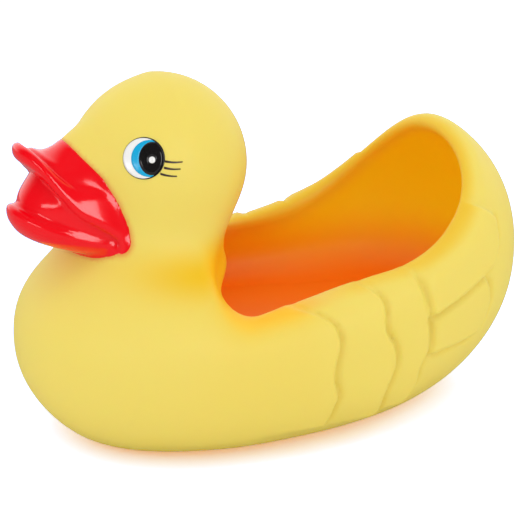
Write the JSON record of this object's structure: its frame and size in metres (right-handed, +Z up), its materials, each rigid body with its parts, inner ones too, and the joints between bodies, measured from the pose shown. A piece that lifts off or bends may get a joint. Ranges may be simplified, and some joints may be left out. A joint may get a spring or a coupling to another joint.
{
  "type": "rubber duck",
  "caption": "Hollow vinyl bath duck with an open tray in its back for small bath toys, an open red bill, painted eyes and moulded wing feathers.",
  "frame": {"origin": "on the ground under the middle of the whole duck", "axes": "+X to the duck's left side, the duck looks along -Y, +Z up"},
  "size_m": [0.1462, 0.2312, 0.1516],
  "materials": {
    "vinyl": "satin yellow vinyl",
    "red_paint": "gloss red paint",
    "white_paint": "gloss white paint",
    "blue_paint": "gloss blue paint",
    "black_paint": "gloss black paint",
    "brown_paint": "matt dark brown paint",
    "clear_plastic": "natural moulded plastic"
  },
  "bodies": {
    "root": {"duck_body": "vinyl", "bill_paint": "red_paint", "eye_white_left": "white_paint", "eye_iris_left": "blue_paint", "eye_pupil_left": "black_paint", "eye_glint_left": "white_paint", "eye_outline_left": "black_paint", "lash_upper_left": "brown_paint", "lash_middle_left": "brown_paint", "lash_lower_left": "brown_paint", "eye_white_right": "white_paint", "eye_iris_right": "blue_paint", "eye_pupil_right": "black_paint", "eye_glint_right": "white_paint", "eye_outline_right": "black_paint", "lash_upper_right": "brown_paint", "lash_middle_right": "brown_paint", "lash_lower_right": "brown_paint", "squeaker_cup": "clear_plastic", "squeaker_reed": "clear_plastic"}
  },
  "joints": []
}
